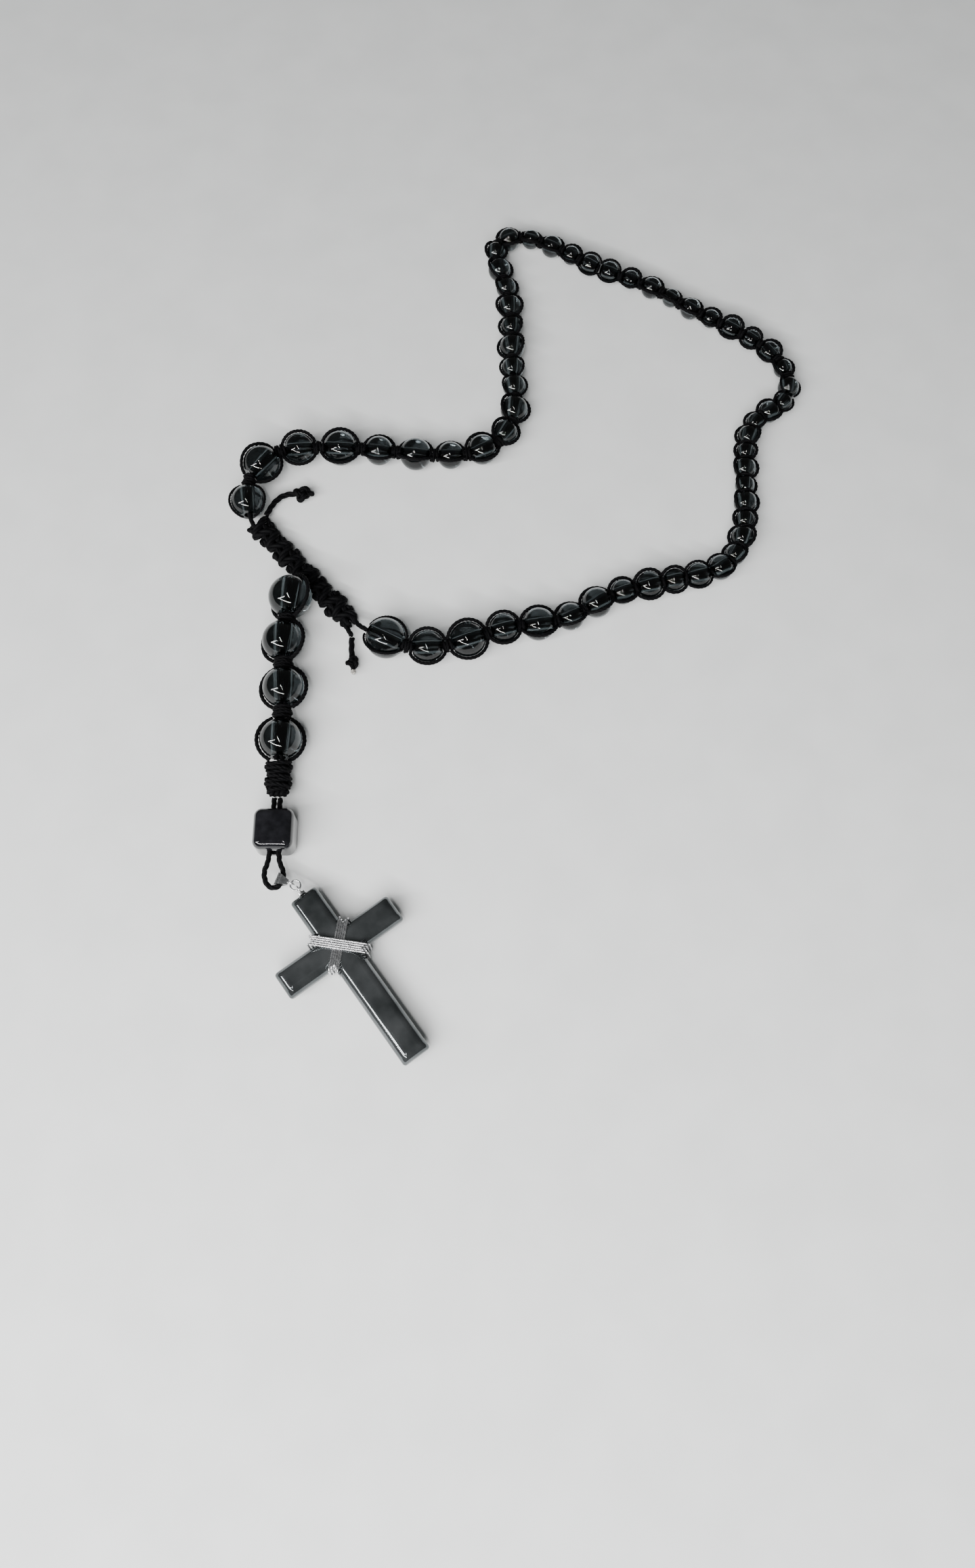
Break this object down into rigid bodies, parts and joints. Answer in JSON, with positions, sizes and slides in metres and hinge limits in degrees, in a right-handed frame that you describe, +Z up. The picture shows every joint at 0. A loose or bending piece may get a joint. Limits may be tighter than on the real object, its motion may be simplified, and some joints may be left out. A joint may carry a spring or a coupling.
{
  "type": "rosary",
  "caption": "Knotted cord rosary of round smoky glass beads, with a sliding square knot closure and a drop that ends in a cuboid bead and a wire-wrapped cross.",
  "frame": {"origin": "middle of the footprint of the rosary as it lies, on the surface it rests on", "axes": "+Z up from the resting surface; +Y along the length of the rosary as it lies, from the cross towards the far end of the loop; +X to the right, seen from above with the cross nearest the viewer"},
  "size_m": [0.1672, 0.26, 0.0126],
  "materials": {
    "smoky_glass": "polished, clear smoky grey",
    "black_glass": "polished opaque black",
    "black_cord": "waxed braided cord",
    "silver_fittings": "bright silver plate",
    "silver_wire": "polished silver wire",
    "polished_hematite": "mirror polished dark grey stone"
  },
  "bodies": {
    "closure_side_of_strand": {"decade_1_beads_01_02": "smoky_glass", "decade_1_beads_03_04": "smoky_glass", "decade_1_beads_05_06": "smoky_glass", "decade_1_beads_07_08": "smoky_glass", "decade_1_beads_09_10": "smoky_glass", "decade_1_beads_11": "smoky_glass", "decade_5_beads_47_48": "smoky_glass", "decade_5_beads_49_50": "smoky_glass", "decade_5_beads_51_52": "smoky_glass", "decade_5_beads_53_54": "smoky_glass", "decade_5_beads_55_56": "smoky_glass", "decade_5_beads_57": "smoky_glass", "core_cord_decade_1": "black_cord", "core_cord_decade_5": "black_cord", "knotted_side_cords_decade_1": "black_cord", "knotted_side_cords_decade_5": "black_cord", "closure_sliding_knots": "black_cord"},
    "second_decade": {"decade_2_beads_12_13": "smoky_glass", "decade_2_beads_14_15": "smoky_glass", "decade_2_beads_16_17": "smoky_glass", "decade_2_beads_18_19": "smoky_glass", "decade_2_beads_20_21": "smoky_glass", "decade_2_beads_22_23": "smoky_glass", "core_cord_decade_2": "black_cord", "knotted_side_cords_decade_2": "black_cord"},
    "third_decade": {"decade_3_beads_24_25": "smoky_glass", "decade_3_beads_26_27": "smoky_glass", "decade_3_beads_28_29": "smoky_glass", "decade_3_beads_30_31": "smoky_glass", "decade_3_beads_32_33": "smoky_glass", "decade_3_beads_34": "smoky_glass", "core_cord_decade_3": "black_cord", "knotted_side_cords_decade_3": "black_cord"},
    "fourth_decade": {"decade_4_beads_35_36": "smoky_glass", "decade_4_beads_37_38": "smoky_glass", "decade_4_beads_39_40": "smoky_glass", "decade_4_beads_41_42": "smoky_glass", "decade_4_beads_43_44": "smoky_glass", "decade_4_beads_45_46": "smoky_glass", "core_cord_decade_4": "black_cord", "knotted_side_cords_decade_4": "black_cord"},
    "upper_cord_end": {"upper_tail": "black_cord"},
    "lower_cord_end": {"lower_tail": "black_cord"},
    "first_drop_link": {"drop_bead_1": "smoky_glass", "drop_cords_1": "black_cord"},
    "second_drop_link": {"drop_bead_2": "smoky_glass", "drop_cords_2": "black_cord"},
    "third_drop_link": {"drop_bead_3": "smoky_glass", "drop_cords_3": "black_cord"},
    "fourth_drop_link": {"drop_bead_4": "smoky_glass", "drop_cords_4": "black_cord", "large_knot": "black_cord"},
    "end_loop": {"end_loop_cord": "black_cord"},
    "sliding_cuboid": {"cuboid_bead": "black_glass"},
    "bail": {"pinch_bail": "silver_fittings"},
    "ring": {"link_ring": "silver_fittings"},
    "wrapped_cross": {"cross_peg": "silver_fittings", "cross_body": "polished_hematite", "lower_wire_wrap": "silver_wire", "upper_wire_wrap": "silver_wire"}
  },
  "joints": [
    {"name": "strand_flex_first_to_second_decade", "type": "hinge", "parent": "closure_side_of_strand", "child": "second_decade", "pos_m": [-0.00167, 0.0723, 0.00397], "axis": [0, 0, 1], "range_deg": [-3.5, 3.5]},
    {"name": "strand_flex_second_to_third_decade", "type": "hinge", "parent": "second_decade", "child": "third_decade", "pos_m": [0.02562, 0.11391, 0.0033], "axis": [0, 0, 1], "range_deg": [-3.9, 3.9]},
    {"name": "strand_flex_third_to_fourth_decade", "type": "hinge", "parent": "third_decade", "child": "fourth_decade", "pos_m": [0.08006, 0.06606, 0.00334], "axis": [0, 0, 1], "range_deg": [-3.13, 3.13]},
    {"name": "upper_cord_end_swing", "type": "hinge", "parent": "closure_side_of_strand", "child": "upper_cord_end", "pos_m": [-0.07296, 0.02523, 0.0024], "axis": [0, 0, 1], "range_deg": [-12, 12]},
    {"name": "lower_cord_end_swing", "type": "hinge", "parent": "closure_side_of_strand", "child": "lower_cord_end", "pos_m": [-0.04676, -0.01397, 0.0024], "axis": [0, 0, 1], "range_deg": [-5, 12]},
    {"name": "drop_swing", "type": "hinge", "parent": "closure_side_of_strand", "child": "first_drop_link", "pos_m": [-0.06346, 0.00283, 0.0064], "axis": [0, 0, 1], "range_deg": [-35, 0]},
    {"name": "second_drop_link_bend", "type": "hinge", "parent": "first_drop_link", "child": "second_drop_link", "pos_m": [-0.06436, -0.00997, 0.0061], "axis": [0, 0, 1], "range_deg": [-10, 10]},
    {"name": "third_drop_link_bend", "type": "hinge", "parent": "second_drop_link", "child": "third_drop_link", "pos_m": [-0.06466, -0.02357, 0.0057], "axis": [0, 0, 1], "range_deg": [-10, 10]},
    {"name": "fourth_drop_link_bend", "type": "hinge", "parent": "third_drop_link", "child": "fourth_drop_link", "pos_m": [-0.06406, -0.03807, 0.0057], "axis": [0, 0, 1], "range_deg": [-10, 10]},
    {"name": "end_loop_bend", "type": "hinge", "parent": "fourth_drop_link", "child": "end_loop", "pos_m": [-0.06406, -0.06137, 0.0046], "axis": [0, 0, 1], "range_deg": [-8, 8]},
    {"name": "cuboid_slide", "type": "slide", "parent": "end_loop", "child": "sliding_cuboid", "axis": [0, 1, 0], "range_m": [0, 0.003]},
    {"name": "bail_lift", "type": "hinge", "parent": "end_loop", "child": "bail", "pos_m": [-0.06166, -0.08367, 0.004], "axis": [0.3233, 0.945, 0.0497], "range_deg": [-40, 0]},
    {"name": "ring_lift", "type": "hinge", "parent": "bail", "child": "ring", "pos_m": [-0.05939, -0.08445, 0.00401], "axis": [0.3746, 0.9272, 0], "range_deg": [-30, 0]},
    {"name": "cross_swing", "type": "hinge", "parent": "ring", "child": "wrapped_cross", "pos_m": [-0.05732, -0.08591, 0.00401], "axis": [0, 0, 1], "range_deg": [-20, 20]}
  ],
  "couplings": [
    {"joint": "strand_flex_second_to_third_decade", "follows": "strand_flex_first_to_second_decade", "ratio": -1.1145},
    {"joint": "strand_flex_third_to_fourth_decade", "follows": "strand_flex_first_to_second_decade", "ratio": 0.8946}
  ]
}
